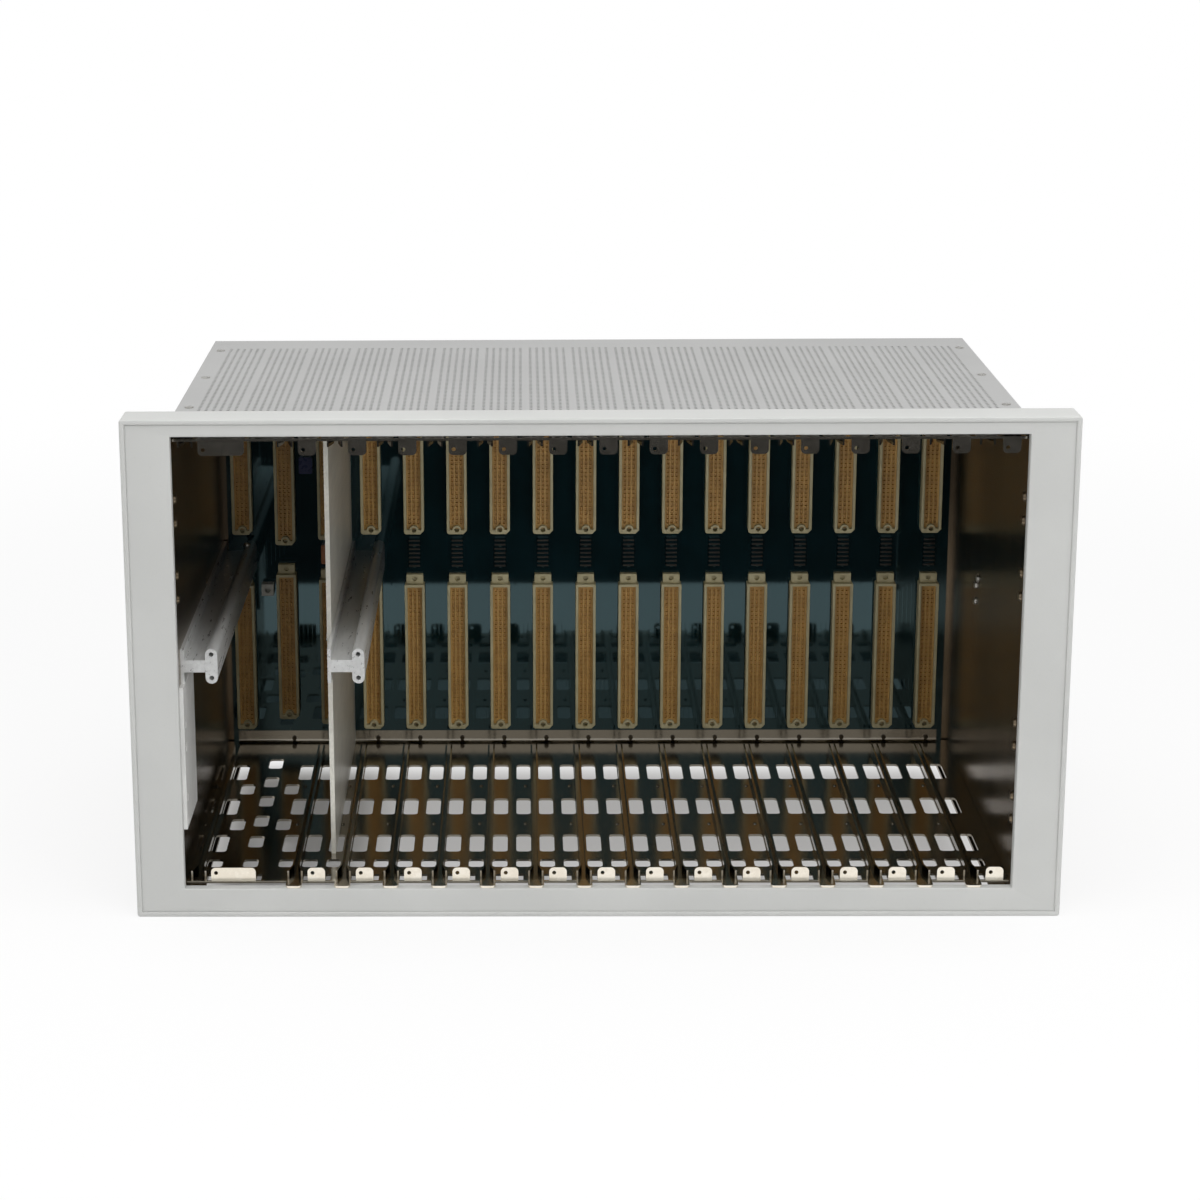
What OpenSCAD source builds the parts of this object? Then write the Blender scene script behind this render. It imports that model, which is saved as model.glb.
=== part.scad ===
// Rack-width card cage: a front bezel, a folded sheet-metal body with card
// guides, and a backplane with two connectors for each card position.
// Origin: middle of the underside of the bounding box. Front towards -Y.

/* [Front bezel] */
// Width of the bezel on each side of the opening
stile_w = 25.3; // [22:0.1:40]
// Height of the bezel below the opening
sill_h = 15.4; // [13:0.1:24]
// Height of the bezel above the opening
header_h = 9.1; // [7:0.1:20]
// Depth of the bezel's outer rim
bezel_d = 22; // [18:0.5:40]
// Thickness of the bezel's front wall
bezel_t = 6; // [4:0.5:8]
// Thickness of the bezel's outer rim
rim_t = 3; // [2:0.1:4]
// Width of the raised line along the bezel's outer edge
lip_w = 2.6; // [1:0.1:2.8]
// Height of that raised line
lip_h = 0.8; // [0.4:0.1:1.5]
// Bevel on the bezel's front edges
bezel_bevel = 0.8; // [0.2:0.1:1]
// Thickness of the flanges that the side plates are riveted to
mount_flange_t = 2.4; // [1.5:0.1:4]

/* [Card positions] */
// Number of card positions
slot_count = 17; // [6:1:17]
// Distance from one card position to the next
slot_pitch = 25.4; // [21:0.1:30]
// Card positions to the left of the divider
left_bay_slots = 3; // [3:1:5]
// Spare width in the opening beside the card positions
bay_play = 0.2; // [0:0.1:2]
// From the left side plate to the centre of the first guide
first_guide = 6.1; // [5:0.1:8]
// Height of a circuit card
card_h = 233.35; // [180:0.05:260]
// Depth of a circuit card
card_d = 220; // [160:1:280]
// Thickness of a circuit card
card_t = 1.6; // [1:0.1:2.4]
// Height of the opening above the upper guide plate
head_room = 2.75; // [1:0.05:5]
// Gap between a card's edge and the sheet under or over it
card_play = 1.4; // [0.4:0.05:2]
// From the bezel's front face to the face that card panels rest on
panel_setback = 9; // [8:0.5:14]
// From a card's rear edge to the face of the backplane
mating_depth = 19; // [12:0.5:24]

/* [Sheet metal] */
// Thickness of the two guide plates
guide_sheet_t = 1.2; // [0.8:0.1:1.6]
// Thickness of the side plates
side_t = 1.8; // [1:0.1:2.4]
// Thickness of the top cover
cover_t = 1.5; // [0.8:0.1:2]
// Thickness of the divider plate
divider_t = 2.4; // [1:0.1:3]
// From the bezel's front face to the front edge of the divider
divider_setback = 51; // [30:1:80]
// Clear height between a guide plate and the edge of the body
body_margin = 6.2; // [6:0.1:10]
// From the bezel's front face to the hole in each side plate
wall_hole_y = 148; // [60:1:200]
// Width of the side plates' inward flanges
side_flange_w = 9; // [7:0.5:14]
// Gap between sheets that lie side by side
seat_gap = 0.1; // [0.05:0.05:0.3]

/* [Guide plates] */
// Width of a panel tab
tab_w = 9.2; // [7:0.1:11]
// Width of the tab of the double-width position
wide_tab_w = 23.5; // [18:0.1:26]
// Height of the tabs above their sheet
tab_h = 7.4; // [5:0.1:9]
// Radius of the tabs' corners
tab_r = 2.4; // [1:0.1:2.5]
// From a guide's centre to the left edge of its tab
tab_offset = 7; // [6:0.1:8]
// Width of the cuts beside a tab
relief_w = 2.6; // [1:0.1:3]
// Depth of those cuts
relief_l = 9; // [4:0.5:12]
// Diameter of the tapped panel holes
panel_hole_d = 2.1; // [1.6:0.1:3]
// From a tab's left edge to its hole
panel_hole_in = 2.6; // [2.2:0.1:4]
// From a tab's free edge to its hole
panel_hole_down = 2.9; // [2.2:0.1:3.2]
// Width of the tongues that lie on the bezel's sill
tongue_w = 8.4; // [5:0.1:10]
// From the bezel's front face to the ends of the tongues
tongue_setback = 1.4; // [1.2:0.1:4]
// Height of the rear flanges
rear_flange_h = 7.3; // [6:0.1:8.5]
// From each end of the sheet to the end of its rear flange
rear_flange_in = 5.5; // [3:0.1:10]
// Height of the guide ribs
rib_h = 4; // [2:0.1:6]
// Thickness of the guide ribs
rib_t = 0.9; // [0.6:0.1:1.4]
// Gap on each side of a card in its guide
rib_play = 0.3; // [0.1:0.05:0.6]
// Sideways flare of the ribs at their entry
rib_flare = 2; // [1:0.1:2.4]
// Length of the flared entry
rib_entry = 9; // [5:0.5:12]
// From the front edge of the sheet to the guide ribs
rib_front = 4.5; // [3:0.5:8]
// Width of the vents beside the guides
vent_w = 8; // [4:0.1:8]
// Length of the vents
vent_l = 27; // [16:0.5:40]
// Length of the vents under the double-width position
blank_vent_l = 18; // [8:0.5:24]
// From the rear edge of the sheet to the last of those vents
blank_vent_end = 43; // [36:1:60]
// Corner radius of the vents
vent_r = 2.2; // [0.5:0.1:2.4]
// Distance from one row of vents to the next
vent_pitch = 60.8; // [50:0.1:80]
// From the front edge of the sheet to the centre of the first full row
vent_first = 58.3; // [54:0.1:62]
// Length of the short vents behind the tabs
short_vent_l = 12; // [8:0.1:14]
// From the front edge of the sheet to the centre of the short vents
short_vent_y = 27; // [24:0.1:30]

/* [Top cover] */
// Width of one perforation line
perf_w = 2.2; // [1:0.1:2.6]
// Distance between the lines of one band
perf_pitch = 4; // [3.2:0.1:4.2]
// Number of lines in the band over each card position
perf_lines = 6; // [3:1:6]
// From a guide's centre to the centre of its band
perf_offset = 13.2; // [12:0.1:14]
// Plain margin at the front of the cover
cover_front = 30; // [26:1:60]
// Plain margin at the rear of the cover
cover_rear = 25; // [12:1:50]
// Height of the lip bent down at the rear of the cover
cover_lip_h = 5; // [3:0.5:8]

/* [Half-height rails] */
// Width of a rail's screw bar
bar_w = 6.4; // [5:0.1:8]
// Height of a rail's screw bar
bar_h = 18.7; // [16:0.1:19]
// Thickness of a rail's web
web_t = 6.5; // [4:0.1:8]
// Thickness of a rail's foot
foot_t = 1.8; // [1:0.1:3]
// Height of a rail's foot
foot_h = 18.3; // [14:0.1:22]
// From the wall to the middle of the screw bar
bar_reach = 16; // [14:0.1:18]
// From the bezel's front face to the front ends of the rails
rail_setback = 15; // [10:0.5:40]
// Height of the rails below mid height
rail_drop = 2.1; // [0:0.1:2.5]
// Diameter of the tapped holes in a rail's ends
rail_hole_d = 2.5; // [2:0.1:3.3]
// Distance between the two holes
rail_hole_pitch = 12.7; // [9:0.1:13]
// Depth of the holes
rail_hole_l = 12; // [6:0.5:20]
// Height of the plate under the left rail
bracket_h = 77; // [40:1:84]
// Depth of that plate
bracket_d = 47.5; // [30:0.5:60]
// Thickness of that plate
bracket_t = 2; // [1:0.1:3]

/* [Backplane] */
// Thickness of the backplane board
board_t = 2.4; // [1.6:0.1:4]
// Gap between each end of the board and the side plate
board_gap = 2.5; // [1:0.1:4]
// Gap at mid height between the upper and the lower connectors
conn_gap = 25.5; // [24:0.1:40]
// Width of a connector
conn_w = 11.9; // [9:0.1:13]
// Depth of a connector
conn_d = 8.4; // [6:0.1:11]
// Thickness of a connector's rim
conn_wall = 1.6; // [1:0.1:2.2]
// Depth of the recess in a connector's face
conn_recess = 3.2; // [1:0.1:3.5]
// Length of the narrow flange at a connector's upper end
ear_l = 5.4; // [4.5:0.1:8]
// Width of that flange
ear_w = 10; // [7:0.1:10]
// Thickness of that flange
ear_t = 4.2; // [2:0.1:5]
// Diameter of a connector's two end holes
conn_hole_d = 2.8; // [2:0.1:3]
// From a connector's end to the centre of its hole
conn_hole_in = 2.6; // [2.2:0.1:3.2]
// From a guide's centre to the centre of its connectors
conn_offset = 5.55; // [4:0.05:7]
// Gap between a connector's outer end and the guide plate
conn_margin = 10.4; // [9.5:0.1:12]
// Shift towards mid height of the second position's connectors
shift_second = 6.35; // [0:0.05:8]
// Shift towards mid height of the third position's connectors
shift_third = 3.2; // [0:0.1:6]
// Width of the small headers at mid height
header_w = 6; // [4:0.1:8]
// Gap between a mid-height part and the connectors above and below it
header_gap = 3.75; // [2:0.05:6]
// Depth of the small headers
header_d = 2.5; // [1:0.1:6]
// Width, height and depth of the terminal block
terminal_w = 7; // [4:0.1:8]
// Gap between the terminal block and the connector beside it
terminal_gap = 1.9; // [0.5:0.1:3]
// From the top of that connector to the underside of the block
terminal_drop = 18.5; // [12:0.5:60]
// Width of the choke
choke_w = 9; // [6:0.1:11]
// Depth of the choke
choke_d = 6; // [3:0.1:8]
// Height of the capacitor
capacitor_h = 10; // [5:0.1:12]
// Width of the capacitor
capacitor_w = 8; // [4:0.1:11]
// Depth of the capacitor
capacitor_d = 5; // [3:0.1:8]

/* [Fasteners] */
// Shank diameter of the rivets
rivet_d = 3.2; // [2.4:0.1:4]
// Head diameter of the rivets
rivet_head_d = 5.4; // [4.6:0.1:6]
// Height of a rivet's head
rivet_head_h = 1.1; // [0.6:0.1:2]
// Distance between the two rivets of a pair
rivet_gap = 12.5; // [8:0.1:16]
// Distance from one pair of rivets to the next
rivet_pitch = 40; // [30:0.5:44]
// Shank diameter of the screws
screw_d = 2.5; // [2:0.1:2.8]
// Head diameter of the screws
screw_head_d = 4.7; // [4:0.1:5]
// Height of a screw's head
screw_head_h = 1.6; // [1:0.1:1.8]
// Length of screw that stands past the last sheet
screw_tip = 1; // [0.5:0.1:2]
// Length of the screws inside the rails' ends
rail_screw_l = 6; // [4:0.5:12]
// From each end of a guide plate to its first side screw
side_screw_end = 32; // [26:1:60]
// From each end of the side plates' upper flanges to the first cover rivet
cover_rivet_end = 30; // [20:1:60]
// From each end of the divider to the first foot screw
foot_screw_end = 20; // [10:1:40]
// Gap round a shank in its hole
hole_play = 0.1; // [0.05:0.05:0.2]

/* [Hidden] */
opening_w = slot_count * slot_pitch + bay_play;
sheet_gap = card_h + 2 * card_play;
floor_z = sill_h + seat_gap;                      // underside of the lower guide plate
floor_top = floor_z + guide_sheet_t;
ceiling_z = floor_top + sheet_gap;                // underside of the upper guide plate
ceiling_top = ceiling_z + guide_sheet_t;
mid_z = (floor_top + ceiling_z) / 2;
opening_top = ceiling_top + head_room;
bezel_w = opening_w + 2 * stile_w;
bezel_h = opening_top + header_h;
side_x = opening_w / 2;                           // inner face of a side plate
board_y = panel_setback + card_d + mating_depth;  // front face of the backplane
sheet_len = board_y - panel_setback;
sheet_w = opening_w - 2 * seat_gap;
rear_y = board_y + board_t;                       // rear face of the backplane
overall_d = rear_y + max(side_t, screw_head_h);
body_z0 = floor_z - body_margin;
body_z1 = ceiling_top + body_margin;              // underside of the top cover
body_w = opening_w + 2 * side_t;
guide_x0 = -side_x + first_guide;
blank_slot = 1;                                   // taken up by the double-width position
divider_x = -side_x + left_bay_slots * slot_pitch;
rib_gap = card_t + 2 * rib_play;
rail_z = mid_z - rail_drop;
conn_y = board_y - conn_d;
skirt_h = body_margin - side_t - 4 * seat_gap;    // side flanges of the guide plates
wall_hole_z = rail_z + foot_h / 2 + 2;
rivet_y = 12;                                     // from the front face to the rivets
rivet_mid_z = (sill_h + opening_top) / 2;
vent_rows = floor((sheet_len - vent_first - vent_l / 2 - 8) / vent_pitch) + 1;
cleat = 0.5;                                      // overlap that joins parts of one piece
conn_l = sheet_gap / 2 - conn_margin - conn_gap / 2;
header_l = conn_gap - 2 * header_gap;
choke_h = header_l - 2 * shift_third;

function guide_x(slot) = guide_x0 + slot * slot_pitch;
function conn_shift(slot) = slot == 1 ? shift_second : slot == 2 ? shift_third : 0;
function lower_conn_z(slot) = floor_top + conn_margin + conn_shift(slot);
function upper_conn_z(slot) = ceiling_z - conn_margin - conn_l - conn_shift(slot);
function has_guide(slot) = slot != blank_slot;
function numbered(name, slot) = str(name, slot + 1);
// Three places spread between two ends, the outer ones a given distance in
function thirds(from, to, inset) = [for (i = [0 : 2])
    from + inset + i * (to - from - 2 * inset) / 2];

$fn = 32;

// Puts a shape measured from the bezel's front face into the part's frame
module place() {
    translate([0, -overall_d / 2, 0]) children();
}

// A flat shape in X and Z, given thickness t from y towards the rear
module upright(y, t) {
    translate([0, y + t, 0]) rotate([90, 0, 0]) linear_extrude(t) children();
}

// A rectangle with round corners from its lower left corner
module round_rect(w, h, r) {
    translate([r, 0]) square([w - 2 * r, h]);
    translate([0, r]) square([w, h - 2 * r]);
    for (x = [r, w - r], y = [r, h - r])
        translate([x, y]) circle(r);
}

module left_right() {
    children();
    mirror([1, 0, 0]) children();
}

module bezel() {
    color("#c4c5c3") place() difference() {
        union() {
            difference() {
                upright(0, bezel_d)
                    translate([-bezel_w / 2, 0]) round_rect(bezel_w, bezel_h, 1.5);
                upright(bezel_t, bezel_d)
                    translate([-bezel_w / 2 + rim_t, rim_t])
                        square([bezel_w - 2 * rim_t, bezel_h - 2 * rim_t]);
            }
            left_right()
                translate([side_x + side_t + seat_gap, bezel_t - cleat, body_z0])
                    cube([mount_flange_t, bezel_d - rim_t - bezel_t + cleat, body_z1 - body_z0]);
        }
        // face sunk inside the raised edge line
        upright(-1, 1 + lip_h)
            translate([-bezel_w / 2 + lip_w, lip_w])
                square([bezel_w - 2 * lip_w, bezel_h - 2 * lip_w]);
        // card opening
        upright(-1, bezel_t + 2)
            translate([-side_x, sill_h]) square([opening_w, opening_top - sill_h]);
        bezel_bevels();
        bezel_rivet_holes();
    }
}

// Bevels on the outer edges and round the opening
module bezel_bevels() {
    b = bezel_bevel;
    for (side = [-1, 1]) {
        translate([side * bezel_w / 2, 0, bezel_h / 2])
            bevel_bar(bezel_h + 2, b, 0);
        translate([side * side_x, lip_h, (sill_h + opening_top) / 2])
            bevel_bar(opening_top - sill_h, b, 0);
    }
    for (z = [0, bezel_h])
        translate([0, 0, z]) bevel_bar(bezel_w + 2, b, 90);
    for (z = [sill_h, opening_top])
        translate([0, lip_h, z]) bevel_bar(opening_w, b, 90);
}

// A square bar turned on its corner, so that it takes an equal bevel off an edge
module bevel_bar(len, size, turn) {
    side = size * sqrt(2);
    rotate([0, turn, 0]) rotate([0, 0, 45]) cube([side, side, len], center = true);
}

// Rivet centres up a side plate, in pairs
rivet_rows = [for (i = [-2, -1, 1, 2], j = [-1, 1])
    rivet_mid_z + i * rivet_pitch + j * rivet_gap / 2];

module bezel_rivet_holes() {
    for (z = rivet_rows)
        translate([0, rivet_y, z]) rotate([0, 90, 0])
            cylinder(h = bezel_w, d = rivet_d + 2 * hole_play, center = true);
}

module side_plate() {
    len = rear_y + side_t - bezel_t - seat_gap;
    y0 = bezel_t + seat_gap;
    h = body_z1 - body_z0;
    difference() {
        union() {
            translate([side_x, y0, body_z0]) cube([side_t, len, h]);
            for (z = [body_z0, body_z1 - side_t])
                translate([side_x - side_flange_w, bezel_d, z])
                    cube([side_flange_w + cleat, board_y - bezel_d - seat_gap, side_t]);
            translate([side_x - side_flange_w, rear_y, body_z0])
                cube([side_flange_w + cleat, side_t, h]);
        }
        for (z = rivet_rows)
            translate([side_x - 1, rivet_y, z]) rotate([0, 90, 0])
                cylinder(h = side_t + 2, d = rivet_d + 2 * hole_play);
        for (y = side_screw_rows, z = side_screw_heights)
            translate([side_x - 1, y, z]) rotate([0, 90, 0])
                cylinder(h = side_t + 2, d = screw_d + 2 * hole_play);
        for (y = cover_rivet_rows)
            translate([side_x - cover_rivet_in, y, body_z1 - side_t - 1])
                cylinder(h = side_t + 2, d = screw_d + 2 * hole_play);
        translate([side_x - 1, wall_hole_y, wall_hole_z]) rotate([0, 90, 0])
            cylinder(h = side_t + 2, d = rivet_d + 2 * hole_play);
    }
}

// Screws through the side plates into the guide plates' side flanges
side_screw_rows = thirds(panel_setback, board_y, side_screw_end);
side_screw_heights = [floor_z - skirt_h / 2, ceiling_top + skirt_h / 2];
cover_rivet_rows = thirds(bezel_d, board_y, cover_rivet_end);
cover_rivet_in = side_flange_w / 2;

module left_side_plate() {
    color("#5c4a38") place() difference() {
        mirror([1, 0, 0]) side_plate();
        for (y = foot_screw_rows)
            translate([1 - side_x, y, rail_z]) rotate([0, -90, 0])
                cylinder(h = side_t + 2, d = screw_d + 2 * hole_play);
    }
}

module right_side_plate() {
    color("#5c4a38") place() side_plate();
}

// Vent centres on each side of every guide, as [x, y, length]
full_rows = [for (i = [0 : vent_rows - 1]) [vent_first + i * vent_pitch, vent_l]];
vent_rows_all = concat([[short_vent_y, short_vent_l]], full_rows);
beside_guides = [for (slot = [0 : slot_count - 1], side = [-1, 1], row = vent_rows_all)
    if (has_guide(slot) && !(slot == 0 && side < 0))
        [guide_x(slot) + side * slot_pitch / 4, row[0], row[1]]];
// Vents in the blank stretch under the double-width position
blank_middle = [for (i = [0 : 5])
    [guide_x(blank_slot), short_vent_y + i * (sheet_len - short_vent_y - blank_vent_end) / 5,
     i == 0 ? short_vent_l : blank_vent_l]];
blank_sides = [for (side = [-1, 1], i = [0 : 1])
    [guide_x(blank_slot) + side * slot_pitch / 2, vent_first + (i + 0.5) * vent_pitch,
     blank_vent_l]];

module vents() {
    for (v = concat(beside_guides, blank_middle, blank_sides))
        translate([v[0] - vent_w / 2, v[1] - v[2] / 2]) round_rect(vent_w, v[2], vent_r);
    // half vents that the left edge of the sheet cuts through
    for (row = full_rows)
        translate([-sheet_w / 2 - 1, row[0] - row[1] / 2]) square([1 + first_guide / 2, row[1]]);
    // relief cuts on both sides of every tab
    for (slot = [0 : slot_count - 1])
        if (has_guide(slot))
            relief(guide_x(slot) + tab_offset, slot == 0 ? wide_tab_w : tab_w);
}

module relief(x, w) {
    for (left = [x - relief_w, x + w])
        translate([left, guide_sheet_t]) square([relief_w, relief_l]);
}

// The plate lies with its card side up: x across, y from the front edge to the rear
module guide_plate(tongues) {
    difference() {
        union() {
            linear_extrude(guide_sheet_t) difference() {
                translate([-sheet_w / 2, 0]) square([sheet_w, sheet_len]);
                vents();
            }
            for (slot = [0 : slot_count - 1])
                if (has_guide(slot)) {
                    panel_tab(guide_x(slot) + tab_offset, slot == 0 ? wide_tab_w : tab_w);
                    card_guide(guide_x(slot));
                }
            if (tongues)
                for (slot = [blank_slot + 1 : slot_count - 1])
                    tongue(guide_x(slot));
            translate([-sheet_w / 2 + rear_flange_in, sheet_len - guide_sheet_t, 0])
                cube([sheet_w - 2 * rear_flange_in, guide_sheet_t, guide_sheet_t + rear_flange_h]);
            left_right()
                translate([sheet_w / 2 - guide_sheet_t, bezel_d - panel_setback, -skirt_h])
                    cube([guide_sheet_t, sheet_len - bezel_d + panel_setback,
                          skirt_h + cleat]);
        }
        for (slot = screw_slots)
            translate([screw_x(slot), sheet_len + 1, guide_sheet_t + rear_screw_up])
                rotate([90, 0, 0]) cylinder(h = guide_sheet_t + 2, d = screw_d + 2 * hole_play);
        for (y = side_screw_rows)
            translate([0, y - panel_setback, -skirt_h / 2]) rotate([0, 90, 0])
                cylinder(h = sheet_w + 2, d = screw_d + 2 * hole_play, center = true);
    }
}

module panel_tab(x, w) {
    hole = [panel_hole_in, guide_sheet_t + tab_h - panel_hole_down];
    upright(0, guide_sheet_t) difference() {
        translate([x, 0]) union() {
            square([w, guide_sheet_t + tab_h - tab_r]);
            translate([tab_r, 0]) square([w - 2 * tab_r, guide_sheet_t + tab_h]);
            for (cx = [tab_r, w - tab_r])
                translate([cx, guide_sheet_t + tab_h - tab_r]) circle(tab_r);
        }
        translate([x, 0] + hole) circle(d = panel_hole_d);
    }
}

// A tongue that reaches forward over the bezel's sill
module tongue(x) {
    len = panel_setback - tongue_setback;
    r = tongue_w / 4;
    linear_extrude(guide_sheet_t) {
        translate([x - tongue_w / 2, r - len]) square([tongue_w, len - r + cleat]);
        translate([x - tongue_w / 2 + r, -len]) square([tongue_w - 2 * r, r]);
        for (side = [-1, 1])
            translate([x + side * (tongue_w / 2 - r), r - len]) circle(r);
    }
}

// Two upstanding ribs, flared apart where the card enters
module card_guide(x) {
    y1 = card_d;
    a = rib_gap / 2;
    b = a + rib_flare;
    translate([x, 0, guide_sheet_t - cleat]) left_right()
        linear_extrude(rib_h + cleat)
            polygon([[b, rib_front], [b + rib_t, rib_front],
                     [a + rib_t, rib_front + rib_entry], [a + rib_t, y1],
                     [a, y1], [a, rib_front + rib_entry]]);
}

module lower_guide_plate() {
    color("#8a744f") place()
        translate([0, panel_setback, floor_z]) guide_plate(true);
}

module upper_guide_plate() {
    color("#8a744f") place()
        translate([0, panel_setback, ceiling_top]) mirror([0, 0, 1]) guide_plate(false);
}

cover_y0 = bezel_t + 2;
cover_len = rear_y - cover_y0;

module top_cover() {
    slot_l = cover_len - cover_front - cover_rear + cover_y0;
    color("#bababa") place() {
        difference() {
            translate([-body_w / 2, cover_y0, body_z1]) cube([body_w, cover_len, cover_t]);
            translate([0, 0, body_z1 - 1]) linear_extrude(cover_t + 2) {
                for (slot = [0 : slot_count - 1], i = [0 : perf_lines - 1])
                    perforation_line(guide_x(slot) + perf_offset
                        + (i - (perf_lines - 1) / 2) * perf_pitch, slot_l);
                left_right() for (y = cover_rivet_rows)
                    translate([side_x - cover_rivet_in, y]) circle(d = screw_d + 2 * hole_play);
            }
        }
        // lip bent down between the side plates, over the backplane's top edge
        translate([-side_x + side_flange_w + seat_gap, rear_y - cover_t, body_z1 - cover_lip_h])
            cube([opening_w - 2 * side_flange_w - 2 * seat_gap, cover_t, cover_lip_h + cleat]);
    }
}

module perforation_line(x, l) {
    r = perf_w / 2;
    translate([x - r, cover_front + r]) square([perf_w, l - perf_w]);
    for (y = [cover_front + r, cover_front + l - r])
        translate([x, y]) circle(r);
}

module divider_plate() {
    len = board_y - guide_sheet_t - seat_gap - divider_setback;
    color("#b9b8b2") place() difference() {
        translate([divider_x - divider_t, divider_setback, floor_top])
            cube([divider_t, len, sheet_gap]);
        for (y = foot_screw_rows)
            translate([divider_x + 1, y, rail_z]) rotate([0, -90, 0])
                cylinder(h = divider_t + 2, d = screw_d + 2 * hole_play);
    }
}

// Rail section: a foot on the wall, a web and a bar with round ends
module rail(wall_x) {
    y0 = rail_setback;
    len = board_y - y0;
    r = bar_w / 2;
    difference() {
        upright(y0, len) translate([wall_x, rail_z]) {
            translate([0, -foot_h / 2]) square([foot_t, foot_h]);
            translate([0, -web_t / 2]) square([bar_reach, web_t]);
            translate([bar_reach - r, r - bar_h / 2]) square([bar_w, bar_h - bar_w]);
            for (side = [-1, 1])
                translate([bar_reach, side * (bar_h / 2 - r)]) circle(r);
        }
        for (side = [-1, 1])
            translate([wall_x + bar_reach, y0 + rail_hole_l, rail_z + side * rail_hole_pitch / 2])
                rotate([90, 0, 0]) cylinder(h = rail_hole_l + 1, d = rail_hole_d);
        translate([wall_x + bar_reach, board_y + 1, rail_z]) rotate([90, 0, 0])
            cylinder(h = rail_screw_l + 2, d = screw_d);
        for (y = foot_screw_rows)
            translate([wall_x - 1, y, rail_z]) rotate([0, 90, 0])
                cylinder(h = foot_grip + 1.5, d = screw_d);
    }
}

// Screws that hold a rail's foot to its wall
foot_screw_rows = thirds(divider_setback, board_y, foot_screw_end);
foot_grip = foot_t + web_t;

module left_rail() {
    color("#d4d5d3") place() rail(-side_x);
}

module divider_rail() {
    color("#d4d5d3") place() rail(divider_x);
}

module left_bracket() {
    top = rail_z - foot_h / 2;
    color("#b9b8b2") place() difference() {
        translate([-side_x, bezel_t + seat_gap, top - bracket_h])
            cube([bracket_t, bracket_d, bracket_h]);
        // room for the rivet heads on the side plate
        for (z = rivet_rows)
            translate([-side_x - 1, rivet_y, z]) rotate([0, 90, 0])
                cylinder(h = bracket_t + 2, d = rivet_head_d + 4 * hole_play);
    }
}

module backplane() {
    board_w = opening_w - 2 * board_gap;
    board_h = ceiling_top - floor_z;
    color("#0c3038") place() {
        upright(board_y, board_t) difference() {
            translate([-board_w / 2, floor_z]) square([board_w, board_h]);
            for (slot = screw_slots, z = rear_screw_heights)
                translate([screw_x(slot), z]) circle(d = screw_d + 2 * hole_play);
            for (x = [-side_x, divider_x])
                translate([x + bar_reach, rail_z]) circle(d = screw_d + 2 * hole_play);
        }
        for (slot = [left_bay_slots + 1 : slot_count - 1])
            translate([guide_x(slot) + conn_offset - header_w / 2,
                       board_y - header_d, mid_z - header_l / 2])
                cube([header_w, header_d + cleat, header_l]);
    }
}

// Card positions that have a backplane screw, and where the screws sit
screw_slots = [for (slot = [0 : slot_count - 1]) if (slot != 0 && slot != 2) slot];
rear_screw_up = rear_flange_h / 2 - 1;
rear_screw_heights = [floor_top + rear_screw_up, ceiling_z - rear_screw_up];
function screw_x(slot) = guide_x(slot) + conn_offset + 2.1;

// A connector from its lower end, with its face towards the front
module connector(slot, z) {
    cavity_w = conn_w - 2 * conn_wall;
    body_l = conn_l - ear_l;
    boss = conn_hole_d / 2 + 1.2;
    place() translate([guide_x(slot) + conn_offset, 0, z]) difference() {
        union() {
            upright(conn_y, conn_d) body_outline(body_l);
            upright(board_y - ear_t, ear_t)
                translate([-ear_w / 2, body_l - 1]) round_rect(ear_w, ear_l + 1, 1);
        }
        upright(conn_y - 1, conn_recess + 1) difference() {
            translate([-cavity_w / 2, conn_hole_in])
                square([cavity_w, body_l - conn_hole_in - conn_wall]);
            translate([0, conn_hole_in]) circle(boss);
        }
        for (h = [conn_hole_in, conn_l - conn_hole_in])
            upright(conn_y - 1, conn_d - 1) translate([0, h]) circle(d = conn_hole_d);
    }
}

// Front view of a connector's body: one lower corner round, the other cut off
module body_outline(l) {
    r = 1.6;
    cut = 2.2;
    w = conn_w / 2;
    polygon([[-w, r], [-w + r, 0], [w - cut, 0], [w, cut], [w, l], [-w, l]]);
    translate([-w + r, r]) circle(r);
}

// Small block beside the second position's lower connector
module terminal_block() {
    x = guide_x(1) + conn_offset - conn_w / 2 - terminal_gap - terminal_w;
    z = lower_conn_z(1) + conn_l - terminal_drop;
    color("#cfcfc6") place() difference() {
        translate([x, board_y - terminal_w, z]) cube(terminal_w);
        translate([x + terminal_w / 2, board_y - terminal_w - 1, z + terminal_w / 2])
            rotate([-90, 0, 0]) cylinder(h = terminal_w - 1, d = terminal_w / 2);
    }
}

// Flat wound part at mid height, between the third position's connectors
module choke() {
    x = guide_x(2) + conn_offset - choke_w / 2;
    color("#a5653c") place() translate([x, 0, mid_z - choke_h / 2])
        upright(board_y - choke_d, choke_d) round_rect(choke_w, choke_h, 1);
}

module capacitor() {
    x = (guide_x(1) + guide_x(2)) / 2 + conn_offset;
    color("#2a4f9e") place()
        translate([x - capacitor_w / 2, 0, upper_conn_z(1) + (conn_l - capacitor_h) / 2])
            upright(board_y - capacitor_d, capacitor_d) round_rect(capacitor_w, capacitor_h, 1);
}

module rivet(grip) {
    translate([0, 0, -rivet_head_h]) cylinder(h = rivet_head_h, d1 = rivet_head_d * 0.7,
                                              d2 = rivet_head_d);
    translate([0, 0, -cleat]) cylinder(h = grip + 2 * cleat, d = rivet_d);
    translate([0, 0, grip]) cylinder(h = rivet_head_h, d1 = rivet_head_d,
                                     d2 = rivet_head_d * 0.7);
}

module bezel_rivets() {
    color("#c9c9c4") place() left_right()
        for (z = rivet_rows)
            translate([side_x, rivet_y, z]) rotate([0, 90, 0])
                rivet(side_t + seat_gap + mount_flange_t);
}

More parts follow.
